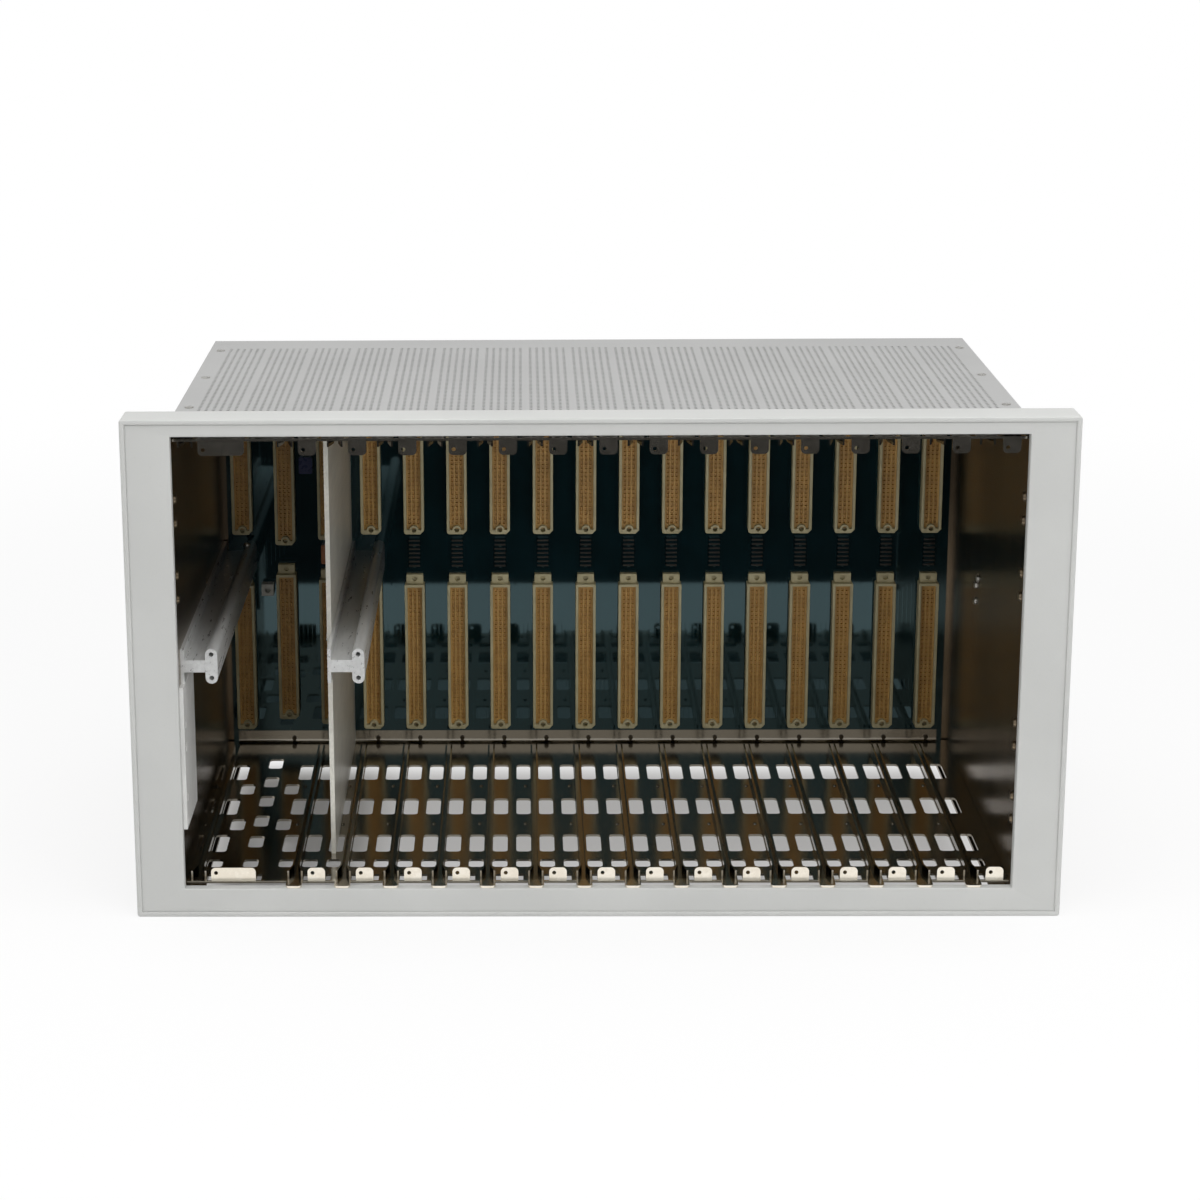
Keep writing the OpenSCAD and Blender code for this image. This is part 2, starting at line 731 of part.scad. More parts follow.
module cover_rivets() {
    color("#b0b0ac") place() left_right()
        for (y = cover_rivet_rows)
            translate([side_x - cover_rivet_in, y, body_z1 + cover_t]) {
                cylinder(h = rivet_head_h / 2, d = screw_head_d);
                translate([0, 0, -side_t - cover_t - screw_tip])
                    cylinder(h = side_t + cover_t + screw_tip + cleat, d = screw_d);
            }
}

// A screw with its head at z = 0 upwards and its shank below
module screw(len) {
    cylinder(h = screw_head_h, d = screw_head_d);
    translate([0, 0, -len]) cylinder(h = len + cleat, d = screw_d);
}

// A screw whose shank clears the wall of its tapped hole
module tapped_screw(len) {
    cylinder(h = screw_head_h, d = screw_head_d);
    translate([0, 0, -len]) cylinder(h = len + cleat, d = screw_d - hole_play);
}

module side_screws() {
    color("#b8b8b4") place() left_right()
        for (y = side_screw_rows, z = side_screw_heights)
            translate([side_x + side_t, y, z]) rotate([0, 90, 0])
                screw(side_t + seat_gap + guide_sheet_t + screw_tip);
}

module foot_screws() {
    color("#b8b8b4") place()
        for (wall = [[-side_x, side_t], [divider_x, divider_t]], y = foot_screw_rows)
            translate([wall[0] - wall[1], y, rail_z]) rotate([0, -90, 0])
                tapped_screw(wall[1] + foot_grip);
}

module backplane_screws() {
    color("#d8d8d2") place()
        for (slot = screw_slots, z = rear_screw_heights)
            translate([screw_x(slot), rear_y, z]) rotate([-90, 0, 0])
                screw(board_t + guide_sheet_t + screw_tip);
}

module rail_screws() {
    color("#d8d8d2") place()
        for (x = [-side_x, divider_x])
            translate([x + bar_reach, rear_y, rail_z]) rotate([-90, 0, 0])
                tapped_screw(board_t + rail_screw_l);
}

// A rivet fills the hole in the right side plate, and the left plate's hole is open
module wall_screw() {
    color("#d8d8d2") place()
        translate([side_x, wall_hole_y, wall_hole_z]) rotate([0, 90, 0])
            rivet(side_t);
}

module upper_connector(slot) {
    color("#d9cfae") connector(slot, upper_conn_z(slot));
}

module lower_connector(slot) {
    color("#d9cfae") connector(slot, lower_conn_z(slot));
}

bezel();
top_cover();
left_side_plate();
right_side_plate();
lower_guide_plate();
upper_guide_plate();
divider_plate();
left_rail();
divider_rail();
left_bracket();
backplane();
terminal_block();
choke();
capacitor();
bezel_rivets();
cover_rivets();
side_screws();
backplane_screws();
rail_screws();
foot_screws();
wall_screw();
for (slot = [0 : slot_count - 1]) {
    upper_connector(slot);
    lower_connector(slot);
}
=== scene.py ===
"""A rack-width card cage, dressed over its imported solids. All lengths are in metres."""
import math

import bmesh
import bpy
import numpy as np
from mathutils import Matrix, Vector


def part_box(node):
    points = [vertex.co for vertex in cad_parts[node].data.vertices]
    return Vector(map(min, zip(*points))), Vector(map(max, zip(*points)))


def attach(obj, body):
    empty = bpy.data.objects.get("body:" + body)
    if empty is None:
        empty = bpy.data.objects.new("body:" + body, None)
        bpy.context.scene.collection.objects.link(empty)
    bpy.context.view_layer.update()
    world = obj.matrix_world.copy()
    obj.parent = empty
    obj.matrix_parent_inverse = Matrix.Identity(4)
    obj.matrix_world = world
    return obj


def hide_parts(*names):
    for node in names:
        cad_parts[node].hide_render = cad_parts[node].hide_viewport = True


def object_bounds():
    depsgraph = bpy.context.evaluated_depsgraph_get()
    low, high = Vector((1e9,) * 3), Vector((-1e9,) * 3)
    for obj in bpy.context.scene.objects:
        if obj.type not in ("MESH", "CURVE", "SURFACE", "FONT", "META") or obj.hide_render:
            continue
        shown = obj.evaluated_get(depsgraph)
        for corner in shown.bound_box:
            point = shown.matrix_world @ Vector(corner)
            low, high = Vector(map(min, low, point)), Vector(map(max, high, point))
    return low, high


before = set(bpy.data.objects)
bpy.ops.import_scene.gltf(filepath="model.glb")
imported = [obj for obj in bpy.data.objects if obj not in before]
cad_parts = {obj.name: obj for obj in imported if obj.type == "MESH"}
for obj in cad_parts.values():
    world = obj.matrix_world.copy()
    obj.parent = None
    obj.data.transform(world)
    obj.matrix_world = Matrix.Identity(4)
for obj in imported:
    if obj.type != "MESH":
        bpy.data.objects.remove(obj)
cad_low, cad_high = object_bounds()
MM = 0.001


# ---------------------------------------------------------------- Camera
# A long lens in front of the cage and above it, tipped down at it and turned
# a little to its left, with the view shifted so that the cage stands central.
camera = bpy.data.objects.new("camera", bpy.data.cameras.new("camera"))
bpy.context.scene.collection.objects.link(camera)
bpy.context.scene.camera = camera
camera.data.lens = 87.29
camera.data.sensor_width = 36.0
camera.data.shift_x = 0.1035
camera.data.shift_y = -0.0071
camera_tip = 0.2604
camera_turn = 0.01645
camera_roll = -0.0070
camera_place = Matrix.Translation((-0.03895, cad_low[1] - 1.4295, 0.5574))
camera.matrix_world = (
    camera_place
    @ Matrix.Rotation(camera_turn, 4, "Z")
    @ Matrix.Rotation(math.pi / 2 - camera_tip, 4, "X")
    @ Matrix.Rotation(camera_roll, 4, "Z")
)


# ---------------------------------------------------------------- Floor and light
# A pale floor without a horizon under broad soft lamps: one overhead, one in
# front and above, and a weak one from each side.
class Tone:
    """A socket of a material. Sums of tones and numbers become Math nodes."""

    def __init__(self, tree, socket):
        self.tree = tree
        self.socket = socket

    def make(self, kind, settings=None, inputs=None, out=0):
        """Adds a node of a kind: its settings first, then its sockets' values or tones."""
        node = self.tree.nodes.new(kind)
        for name, value in (settings or {}).items():
            if name == "stops":
                self.fill_ramp(node.color_ramp, value)
            else:
                setattr(node, name, value)
        for name, value in (inputs or {}).items():
            if isinstance(value, Tone):
                self.tree.links.new(value.socket, node.inputs[name])
            else:
                node.inputs[name].default_value = value
        return Tone(self.tree, node.outputs[out])

    @staticmethod
    def fill_ramp(ramp, stops):
        while len(ramp.elements) < len(stops):
            ramp.elements.new(0.5)
        for element, (position, colour) in zip(ramp.elements, stops):
            element.position = position
            element.color = (*colour, 1.0)

    def sum(self, operation, first, second=0.0, clamp=False):
        settings = {"operation": operation, "use_clamp": clamp}
        return self.make("ShaderNodeMath", settings, {0: first, 1: second})

    def __add__(self, other):
        return self.sum("ADD", self, other)

    def __radd__(self, other):
        return self.sum("ADD", other, self)

    def __sub__(self, other):
        return self.sum("SUBTRACT", self, other)

    def __rsub__(self, other):
        return self.sum("SUBTRACT", other, self)

    def __mul__(self, other):
        return self.sum("MULTIPLY", self, other)

    def __rmul__(self, other):
        return self.sum("MULTIPLY", other, self)

    def __truediv__(self, other):
        return self.sum("DIVIDE", self, other)

    def __pow__(self, other):
        return self.sum("POWER", self, other)

    def __mod__(self, other):
        return self.sum("FLOORED_MODULO", self, other)

    def __abs__(self):
        return self.sum("ABSOLUTE", self)

    def __gt__(self, other):
        return self.sum("GREATER_THAN", self, other)

    def __lt__(self, other):
        return self.sum("LESS_THAN", self, other)

    def ramp(self, low, high):
        """0 below low, 1 above high, and an even rise between them."""
        settings = {"clamp": True, "interpolation_type": "SMOOTHSTEP"}
        return self.make("ShaderNodeMapRange", settings, {0: self, 1: low, 2: high})

    def blend(self, first, second):
        """The first colour where this tone is 0 and the second where it is 1."""
        inputs = {0: self}
        for slot, colour in ((6, first), (7, second)):
            inputs[slot] = colour if isinstance(colour, Tone) else (*colour, 1.0)
        return self.make("ShaderNodeMix", {"data_type": "RGBA"}, inputs, out=2)

    def axes(self):
        split = self.make("ShaderNodeSeparateXYZ", {}, {0: self})
        node = split.socket.node
        return [Tone(self.tree, node.outputs[axis]) for axis in range(3)]

    def noise(self, scale, detail=3.0, stretch=(1, 1, 1), rough=0.5):
        """Cloudy noise from 0 to 1 about 0.5, whose grains are pulled out by stretch."""
        spread = self.make("ShaderNodeMapping", {}, {0: self, 3: [scale / s for s in stretch]})
        inputs = {0: spread, "Scale": 1.0, "Detail": detail, "Roughness": rough}
        return self.make("ShaderNodeTexNoise", {}, inputs)


def start_finish(name):
    """A new material, and the tone that gives a point's place on the object."""
    material = bpy.data.materials.new(name)
    material.use_nodes = True
    tree = material.node_tree
    place = tree.nodes.new("ShaderNodeTexCoord").outputs["Object"]
    return material, Tone(tree, place)


def close_finish(material, bump=None, depth=0.0, **looks):
    """Sets the surface's looks by socket name, and a bump of a depth where one is given."""
    shader = material.node_tree.nodes["Principled BSDF"]
    for name, value in looks.items():
        socket = shader.inputs[name.replace("_", " ").title().replace("Ior", "IOR")]
        if isinstance(value, Tone):
            value.tree.links.new(value.socket, socket)
        else:
            socket.default_value = (*value, 1.0) if isinstance(value, tuple) else value
    if bump is not None:
        inputs = {"Height": bump, "Distance": depth, "Strength": 1.0}
        normal = bump.make("ShaderNodeBump", {}, inputs)
        bump.tree.links.new(normal.socket, shader.inputs["Normal"])
    return material


def seen_directly(tone):
    """1 for rays that come from the camera, a mirror or a clear body, and 0 for others."""
    path = tone.make("ShaderNodeLightPath")
    rays = [Tone(tone.tree, path.socket.node.outputs[name])
            for name in ("Is Camera Ray", "Is Glossy Ray", "Is Transmission Ray")]
    return tone.sum("ADD", rays[0] + rays[1], rays[2], clamp=True)


def bench_paper(name, near_glow, paper_front):
    """White paper that also shows as white by itself: in part near the cage, where it
    takes the shadow, and wholly far from it. It glows less under the cage, where its
    real shadow then shows, and less again under the left bay, as a painted shadow.
    Mirrors find it almost black past paper_front, which keeps it out of the glossy board."""
    material, place = start_finish(name)
    close_finish(material, base_color=(0.86, 0.86, 0.86), roughness=0.9)
    tree = material.node_tree
    paper = Tone(tree, tree.nodes["Principled BSDF"].outputs[0])
    shine = place.make("ShaderNodeEmission", {}, {"Strength": 1.0})
    dark = place.make("ShaderNodeEmission", {}, {"Strength": 0.03})
    across, along, up = place.axes()
    away = ((across * across + along * along) ** 0.5).ramp(0.45, 1.3)
    outside = 1 - (1 - abs(across).ramp(0.19, 0.24)) * (1 - abs(along).ramp(0.09, 0.14))
    share = seen_directly(place) * (away * (1 - near_glow) + near_glow) * (outside * 0.6 + 0.4)
    # Under the left bay the glow is cut to about a third: a painted shadow.
    share = share * (1 - (1 - outside) * (1 - across.ramp(-0.14, -0.11)) * 0.65)
    mix = place.make("ShaderNodeMixShader", {}, {0: share, 1: paper, 2: shine})
    path = place.make("ShaderNodeLightPath").socket.node
    mirrored = Tone(tree, path.outputs["Is Glossy Ray"]) * (along < paper_front)
    mix = place.make("ShaderNodeMixShader", {}, {0: mirrored, 1: mix, 2: dark})
    tree.links.new(mix.socket, tree.nodes["Material Output"].inputs[0])
    return material


floor_size = 60.0
bpy.ops.mesh.primitive_plane_add(size=floor_size, location=(0, 0, cad_low[2]))
floor = bpy.context.object
floor.name = "floor"
floor.data.materials.append(bench_paper("floor paper", 0.82, cad_low[1] - 0.19))

world = bpy.data.worlds.new("studio")
bpy.context.scene.world = world
world.use_nodes = True
sky = Tone(world.node_tree, world.node_tree.nodes["Background"].outputs[0])
ambient = 0.42
mirror_cut = 0.40  # mirrors see the white surroundings dimmed to 0.6
direct = seen_directly(sky)
strength = direct * (1.0 - ambient) + ambient
mirror_path = sky.make("ShaderNodeLightPath").socket.node
strength = strength - Tone(world.node_tree, mirror_path.outputs["Is Glossy Ray"]) * mirror_cut
world.node_tree.links.new(strength.socket, world.node_tree.nodes["Background"].inputs[1])
world.node_tree.nodes["Background"].inputs[0].default_value = (1, 1, 1, 1)


def soft_lamp(name, place, aim, size, power):
    """A square lamp at a place, turned to face the point it is aimed at. It is hidden
    from mirrors, so bare metal gets no highlight from it."""
    lamp = bpy.data.objects.new(name, bpy.data.lights.new(name, "AREA"))
    lamp.data.size = size
    lamp.data.energy = power
    toward = np.subtract(aim, place)
    tilt = math.atan2(math.hypot(toward[0], toward[1]), -toward[2])
    turn = math.atan2(toward[1], toward[0]) - math.pi / 2
    lamp.matrix_world = (Matrix.Translation(place) @ Matrix.Rotation(turn, 4, "Z")
                         @ Matrix.Rotation(tilt, 4, "X"))
    lamp.visible_glossy = False
    bpy.context.scene.collection.objects.link(lamp)


middle = (0.0, 0.0, 0.13)
soft_lamp("overhead", (0.0, -0.4, 1.6), middle, 1.4, 19.5)
soft_lamp("front", (0.9, -1.8, 0.9), middle, 1.2, 5.4)
soft_lamp("low front", (0.0, -0.75, 0.1), (0.0, 0.0, 0.05), 0.9, 0.7)
soft_lamp("left", (-1.8, -0.5, 0.8), middle, 1.0, 4.0)
soft_lamp("right", (1.8, -0.5, 0.8), middle, 1.0, 6.0)
bpy.context.scene.view_settings.view_transform = "Standard"


# ---------------------------------------------------------------- Bezel
# The front frame is an aluminium casting: a flat face inside a raised edge line,
# an opening for the cards, a rim round the back, and a flange behind each stile
# that the side plates are riveted to. It has a fine satin paint.
def grid_faces(rows, columns, loop_rows=False, loop_columns=False):
    """Faces of a grid of points: each face joins a point to the next one along its
    column, the next one along its row, and the one across."""
    row = np.arange(rows if loop_rows else rows - 1)[:, None]
    column = np.arange(columns if loop_columns else columns - 1)[None, :]
    next_row = (row + 1) % rows
    next_column = (column + 1) % columns
    corners = [row * columns + column, row * columns + next_column,
               next_row * columns + next_column, next_row * columns + column]
    return np.stack(np.broadcast_arrays(*corners), axis=-1).reshape(-1, 4).tolist()


def rings_solid(rings, loop=False):
    """Points and faces of a body whose skin runs through closed rings of equal counts.
    The skin closes on itself in a loop, or the first and last rings get a flat end."""
    rings = np.asarray(rings)
    rows, columns = rings.shape[:2]
    faces = grid_faces(rows, columns, loop, True)
    if not loop:
        faces += [list(range(columns)), list(range((rows - 1) * columns, rows * columns))]
    return rings.reshape(-1, 3), faces


def together(parts):
    """The points and faces of several bodies as one set."""
    points = np.concatenate([np.asarray(part[0]) for part in parts])
    starts = np.cumsum([0] + [len(part[0]) for part in parts])
    faces = [[start + corner for corner in face]
             for part, start in zip(parts, starts) for face in part[1]]
    return points, faces


def make_piece(name, parts, finishes, nodes=(), which=None, crease=35.0):
    """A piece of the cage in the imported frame: its mesh from bodies, with outward faces
    and soft shading up to a crease angle, its finishes, and the nodes it stands for."""
    points, faces = together(parts)
    mesh = bpy.data.meshes.new(name)
    mesh.from_pydata(points.tolist(), [], faces)
    for finish in finishes:
        mesh.materials.append(finish)
    if which is not None:
        mesh.polygons.foreach_set("material_index", which)
    solid = bmesh.new()
    solid.from_mesh(mesh)
    bmesh.ops.remove_doubles(solid, verts=solid.verts, dist=1e-7)
    bmesh.ops.recalc_face_normals(solid, faces=solid.faces)
    solid.to_mesh(mesh)
    solid.free()
    mesh.polygons.foreach_set("use_smooth", np.ones(len(mesh.polygons), bool))
    mesh.set_sharp_from_angle(angle=math.radians(crease))
    piece = bpy.data.objects.new(name, mesh)
    bpy.context.scene.collection.objects.link(piece)
    if nodes:
        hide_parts(*nodes)
    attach(piece, "root")
    return piece


def rectangle_ring(low, high, radius, y):
    """A rectangle in X and Z at a depth y, as a closed line: four corners, each a
    quarter circle of the radius about its centre, through the same count of points."""
    steps = np.linspace(0, math.pi / 2, 5)
    turns = np.concatenate([steps + quarter * math.pi / 2 for quarter in range(4)])
    right = np.repeat([1, 0, 0, 1], len(steps))
    upper = np.repeat([1, 1, 0, 0], len(steps))
    x = np.where(right, high[0] - radius, low[0] + radius) + radius * np.cos(turns)
    z = np.where(upper, high[1] - radius, low[1] + radius) + radius * np.sin(turns)
    return np.stack([x, np.full_like(x, y), z], axis=-1)


def rounded_box(low, high, edge):
    """A box whose skin runs from a front end to a back end through rectangles, with all
    its edges turned over by a small radius."""
    low, high = np.array(low), np.array(high)
    turns = np.linspace(0, math.pi / 2, 4)
    inset = np.concatenate([edge * (1 - np.sin(turns)), edge * (1 - np.cos(turns))])
    depth = np.concatenate([low[1] + edge * (1 - np.cos(turns)),
                            high[1] - edge * (1 - np.sin(turns))])
    return rings_solid([
        rectangle_ring(low[[0, 2]] + i, high[[0, 2]] - i, max(edge - i, edge * 0.05), y)
        for i, y in zip(inset, depth)])


def paint(name, colour, gloss):
    """Sprayed satin paint: a fine orange peel and slight clouding in its colour."""
    finish, place = start_finish(name)
    cloud = place.noise(14, 4)
    dust = place.noise(700, 2)
    shade = cloud.ramp(0.3, 0.7).blend([c * 0.965 for c in colour], [c * 1.03 for c in colour])
    speck = dust.ramp(0.66, 0.78) * 0.12
    shade = speck.blend(shade, [c * 0.6 for c in colour])
    return close_finish(
        finish, bump=place.noise(900, 2), depth=0.00004, base_color=shade,
        roughness=gloss + cloud * 0.12, specular_ior_level=0.4)


bezel_paint = paint("bezel paint", (0.54, 0.545, 0.53), 0.38)

bezel_low, bezel_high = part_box("bezel")
front = bezel_low[1]
wall_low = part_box("right_side_plate")[0]
wall_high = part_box("right_side_plate")[1]
side_thickness = 1.8 * MM
side_inner = wall_high[0] - side_thickness
opening_low = (-side_inner, 15.4 * MM)
opening_high = (side_inner, bezel_high[2] - 9.1 * MM)
outer_low = (bezel_low[0], bezel_low[2])
outer_high = (bezel_high[0], bezel_high[2])
rim_corner = 1.5 * MM
arc = np.linspace(0, math.pi / 2, 5)

# Inset from the outer edge, and depth behind the front, of the lines round the bezel
outer_line = np.concatenate([
    np.stack([0.8 * (1 - np.cos(arc)), 0.8 * (1 - np.sin(arc))], -1),
    [[2.0, 0.0], [2.35, 0.08], [2.55, 0.3], [2.6, 0.8], [2.7, 1.05], [2.95, 1.05], [3.05, 0.8]],
]) * MM
inner_line = np.concatenate([
    np.stack([0.8 * (1 - np.sin(arc)), 0.8 + 0.8 * (1 - np.cos(arc))], -1),
    [[0.0, 6.0]],
]) * MM
back_line = np.array([[3.0, 6.0], [3.0, 21.8], [2.8, 22.0], [0.3, 22.0], [0.0, 21.7]]) * MM


def round_outer(inset, depth):
    radius = max(rim_corner - inset, 0.1 * MM)
    return rectangle_ring(np.array(outer_low) + inset, np.array(outer_high) - inset,
                          radius, front + depth)


def round_opening(outset, depth):
    return rectangle_ring(np.array(opening_low) - outset, np.array(opening_high) + outset,
                          0.3 * MM + outset, front + depth)


rings = ([round_outer(*line) for line in outer_line]
         + [round_opening(*line) for line in inner_line]
         + [round_outer(*line) for line in back_line])
flange_x = np.array([217.9, 220.3]) * MM
flange_y = front + np.array([5.5, 19.0]) * MM
flanges = [
    rounded_box((min(side * flange_x), flange_y[0], wall_low[2]),
                (max(side * flange_x), flange_y[1], wall_high[2]), 0.3 * MM)
    for side in (-1, 1)]
make_piece("bezel_casting", [rings_solid(rings, loop=True)] + flanges, [bezel_paint],
           ["bezel"])


# ---------------------------------------------------------------- Side plates
# Two folded steel sheets close the ends of the cage and carry the guide plates.
# They are plated and chromated to a dark bronze, with faint upright mill streaks.
def chromate(name, light, dark, grain, gloss, inner_tone=1.0):
    """Plated sheet under a chromate film: streaks along the rolling, and tinted clouds.
    An inner_tone below 1 darkens it behind the front edge. That stands in for the fall
    of light inside the cage and isn't a feature of the real sheet."""
    finish, place = start_finish(name)
    streak = place.noise(260, 3, grain, 0.6)
    cloud = place.noise(16, 3)
    tint = (streak * 0.6 + cloud * 0.4).ramp(0.38, 0.62)
    shade = tint.blend(dark, light)
    if inner_tone < 1.0:
        inward = place.axes()[1].ramp(front + 9 * MM, front + 14 * MM)
        shade = inward.blend(shade, [c * inner_tone for c in dark])
    return close_finish(
        finish, bump=streak, depth=0.000008, base_color=shade, metallic=1.0,
        roughness=streak * 0.12 + (gloss - 0.06))


def dress(names, finish):
    """Gives nodes that keep their own shape a better finish."""
    for name in names:
        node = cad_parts[name]
        for place in node.material_slots:
            place.material = finish


side_finish = chromate("bronze side sheet", (0.33, 0.265, 0.19), (0.22, 0.165, 0.11),
                       (1, 1, 30), 0.24)
dress(["left_side_plate", "right_side_plate"], side_finish)


# ---------------------------------------------------------------- Guide plates
# The floor and ceiling are pierced sheets with a folded card channel at each
# position, a tapped tab at each channel's front, and a flange up the backplane.
# Behind the front edge this sheet's colour drops to 0.45 of its dark tone: a painted shade for the fall
# of light inside the cage.
guide_finish = chromate("pale guide sheet", (0.92, 0.86, 0.75), (0.84, 0.77, 0.65),
                        (1, 20, 1), 0.16, 0.45)
dress(["lower_guide_plate", "upper_guide_plate"], guide_finish)

# The bends at the guide plates' rear flanges are rounded inside, and two small
# lances are pressed up beside each card channel.
bend_radius = 2.2 * MM
guide_at = (-side_inner + 6.1 * MM) + 0.0254 * np.array([0] + list(range(2, 17)))
lance_at = front + np.array([98.0, 163.0]) * MM


def bend(low, high, y, z, way):
    """A hollow corner carried along X: a quarter circle between the sheet and its flange,
    closed behind by the corner itself."""
    turns = np.linspace(0, math.pi / 2, 9)
    line_y = np.concatenate([y - bend_radius * (1 - np.sin(turns)), [y]])
    line_z = np.concatenate([z + way * bend_radius * (1 - np.cos(turns)), [z]])
    rings = [np.stack([np.full_like(line_y, x), line_y, line_z], -1) for x in (low, high)]
    return rings_solid(rings)


def lances(z, way):
    """Low domes: for each, rings about its centre shrink as a quarter circle rises."""
    rise = np.linspace(0, math.pi / 2, 5)
    turns = np.linspace(0, 2 * math.pi, 12, endpoint=False)
    bodies = []
    for x in guide_at - 5.2 * MM:
        for y in lance_at:
            radius = 1.1 * MM * np.cos(rise * 0.97)[:, None]
            ring_x = x + radius * np.cos(turns)
            ring_y = y + 1.5 * radius * np.sin(turns)
            ring_z = np.broadcast_to((z + way * 0.8 * MM * np.sin(rise))[:, None], ring_x.shape)
            bodies.append(rings_solid(np.stack([ring_x, ring_y, ring_z], -1)))
    return bodies


for name, way in (("lower", 1), ("upper", -1)):
    low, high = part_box(name + "_guide_plate")
    sheet_face = 16.7 * MM if way > 0 else 252.85 * MM
    flange_face = high[1] - 1.2 * MM
    bodies = [bend(low[0] + 5.5 * MM, high[0] - 5.5 * MM, flange_face, sheet_face, way)]
    make_piece(name + "_plate_bend", bodies + lances(sheet_face, way), [guide_finish])


# ---------------------------------------------------------------- Divider and bracket
# Bare aluminium sheets: the divider stands between the guide plates beside the
# left bay, and the bracket stiffens the left side plate under its rail.
def bare_sheet(name, colour, grain, gloss, metal, rear_tone=1.0):
    """Aluminium as it comes from the mill: long fine streaks and a few dull clouds. A
    rear_tone below 1 darkens it towards the rear. That stands in for the fall of light
    inside the cage and isn't a feature of the real metal."""
    finish, place = start_finish(name)
    streak = place.noise(420, 4, grain, 0.65)
    cloud = place.noise(18, 3)
    tint = (streak * 0.5 + cloud * 0.5).ramp(0.35, 0.65)
    shade = tint.blend([c * 0.82 for c in colour], colour)
    if rear_tone < 1.0:
        rearward = place.axes()[1].ramp(front + 10 * MM, front + 170 * MM)
        shade = rearward.blend(shade, [c * rear_tone for c in colour])
    return close_finish(
        finish, bump=streak, depth=0.00001, base_color=shade, metallic=metal,
        roughness=streak * 0.2 + (gloss - 0.1))


divider_finish = bare_sheet("divider sheet", (0.86, 0.84, 0.76), (1, 25, 1), 0.36, 0.4)
dress(["divider_plate"], divider_finish)
bracket_finish = bare_sheet("etched bracket sheet", (0.88, 0.88, 0.86), (1, 1, 6), 0.55, 0.3)
dress(["left_bracket"], bracket_finish)


# ---------------------------------------------------------------- Rails
# Two drawn aluminium tees run from the front to the backplane, one screwed to the
# left side plate and one to the divider. They hold half-height cards' panels.
# Towards the rear the rails' colour drops to 0.22 of itself: a painted shade for the fall of light
# inside the cage.
rail_finish = bare_sheet("drawn rail", (0.93, 0.94, 0.93), (1, 8, 1), 0.3, 0.45, 0.22)
dress(["left_rail", "divider_rail"], rail_finish)


# ---------------------------------------------------------------- Backplane
# A glossy dark green-blue circuit board that closes the back of the cage. Between
# the connectors it has plated pads, and small headers bridge the middle gap.
board_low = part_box("backplane")[0]
pitch = 25.4 * MM
first_centre = (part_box("upper_connector_1")[0][0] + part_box("upper_connector_1")[1][0]) / 2
board_finish, place = start_finish("solder mask")
across, _, up = place.axes()
cell_across = (across - (first_centre + pitch / 2)) % pitch - pitch / 2
cell_up = (up - 0.0185) % (pitch / 2) - pitch / 4
reach = (cell_across * cell_across + cell_up * cell_up) ** 0.5
pad = 1 - reach.ramp(0.0007, 0.0010)
weave = place.noise(60, 3)
mask = weave.ramp(0.35, 0.65).blend((0.0012, 0.0085, 0.0105), (0.002, 0.012, 0.0155))
track = 1 - abs(cell_across % 0.00254 - 0.00127).ramp(0.0002, 0.0004)
track = track * place.noise(25, 0).ramp(0.5, 0.55)
mask = (track * 0.35).blend(mask, (0.003, 0.02, 0.024))
board_tone = (pad * 0.55).blend(mask, (0.10, 0.14, 0.13))
close_finish(board_finish, bump=track, depth=0.000004, base_color=board_tone,
             roughness=weave * 0.03 + 0.02, metallic=pad * 0.3, ior=1.7,
             specular_tint=(0.6, 0.93, 1.0))
dress(["backplane"], board_finish)


# ---------------------------------------------------------------- Connectors
# Thirty-four long two-part sockets, two to a card. Each is a cream moulding that is
# screwed to the board at both ends, and holds an amber block with three columns of
# contacts.
def moulding(name, light, dark, gloss):
    """Glass-filled plastic: almost even in colour, with a fine sparkle in its gloss."""
    finish, place = start_finish(name)
    cloud = place.noise(120, 3)
    shade = cloud.ramp(0.3, 0.7).blend(dark, light)
    return close_finish(finish, bump=place.noise(1500, 2), depth=0.00003,
                        base_color=shade, roughness=gloss + cloud * 0.15)


shell_finish = moulding("cream moulding", (0.60, 0.54, 0.33), (0.52, 0.46, 0.27), 0.38)
block_finish = moulding("amber block", (0.60, 0.36, 0.11), (0.50, 0.29, 0.085), 0.42)

shell_width = 11.9
shell_depth = 8.4
shell_recess = 3.2
ear_reach = 5.4
ear_width = 10.0
ear_depth = 4.2
hole_in = 2.6
hole_radius = 1.4
boss_radius = 2.6
shell_wall = 1.6
arc_count = 12


def corner_arc(centre, radius, start, stop, count=4):
    """Points about a centre in X and Z, from one angle to another, in degrees."""
    turns = np.radians(np.linspace(start, stop, count))
    return np.stack([centre[0] + radius * np.cos(turns),
                     centre[1] + radius * np.sin(turns)], -1)


def shell_lines(length, grow):
    """The shell's outer line and its hollow's line, with as many points each, both set
    outwards by grow. They start along the bottom, where the hollow bends over the boss."""
    half = shell_width / 2 + grow
    low, high = -grow, length + grow
    bottom = np.stack([np.linspace(-1.9, 1.9, arc_count), np.full(arc_count, low)], -1)
    outer = np.concatenate([
        bottom,
        np.linspace((half - 2.2, low), (half, low + 2.2), 4),
        corner_arc((half - 0.5, high - 0.5), 0.5, 0, 90),
        corner_arc((-half + 0.5, high - 0.5), 0.5, 90, 180),
        corner_arc((-half + 1.6, low + 1.6), 1.6, 180, 270)])
    inside = shell_width / 2 - shell_wall + grow
    floor_line, top_line = hole_in - grow, length - shell_wall + grow
    hollow = np.concatenate([
        corner_arc((0, hole_in), boss_radius - grow, 180, 0, arc_count),
        corner_arc((inside - 0.4, floor_line + 0.4), 0.4, -90, 0),
        corner_arc((inside - 0.4, top_line - 0.4), 0.4, 0, 90),
        corner_arc((-inside + 0.4, top_line - 0.4), 0.4, 90, 180),
        corner_arc((-inside + 0.4, floor_line + 0.4), 0.4, 180, 270)])
    return outer, hollow


def at_depth(line, depth):
    return np.stack([line[:, 0], np.full(len(line), depth), line[:, 1]], -1)


